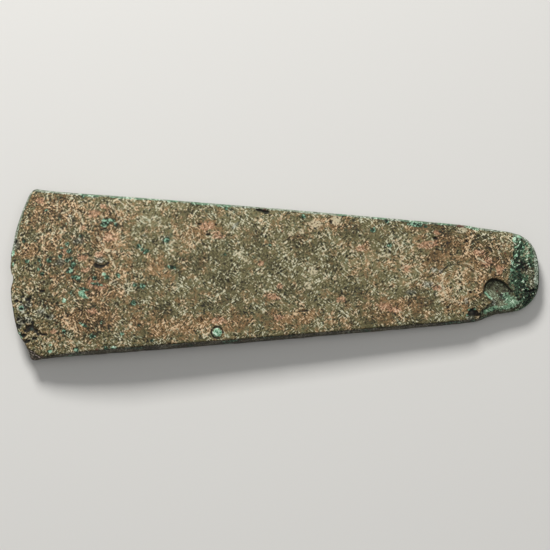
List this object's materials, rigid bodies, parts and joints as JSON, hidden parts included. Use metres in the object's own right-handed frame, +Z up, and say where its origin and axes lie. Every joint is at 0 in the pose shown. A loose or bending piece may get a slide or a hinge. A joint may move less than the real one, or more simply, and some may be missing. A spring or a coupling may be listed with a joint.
{
  "type": "flat axe head",
  "caption": "Flat trapezoid axe head of worn, corroded copper alloy, with a convex cutting edge and a rounded butt.",
  "frame": {"origin": "under the middle of the bounding box, on the surface that the axe head lies on", "axes": "+X along the length, from the cutting edge to the butt; +Y across the blade; +Z up, out of the upper face"},
  "size_m": [0.1699, 0.0561, 0.0111],
  "materials": {
    "patinated_bronze": "rough brown and salmon patina with green and pale crusts"
  },
  "bodies": {
    "root": {"axe_head": "patinated_bronze"}
  },
  "joints": []
}
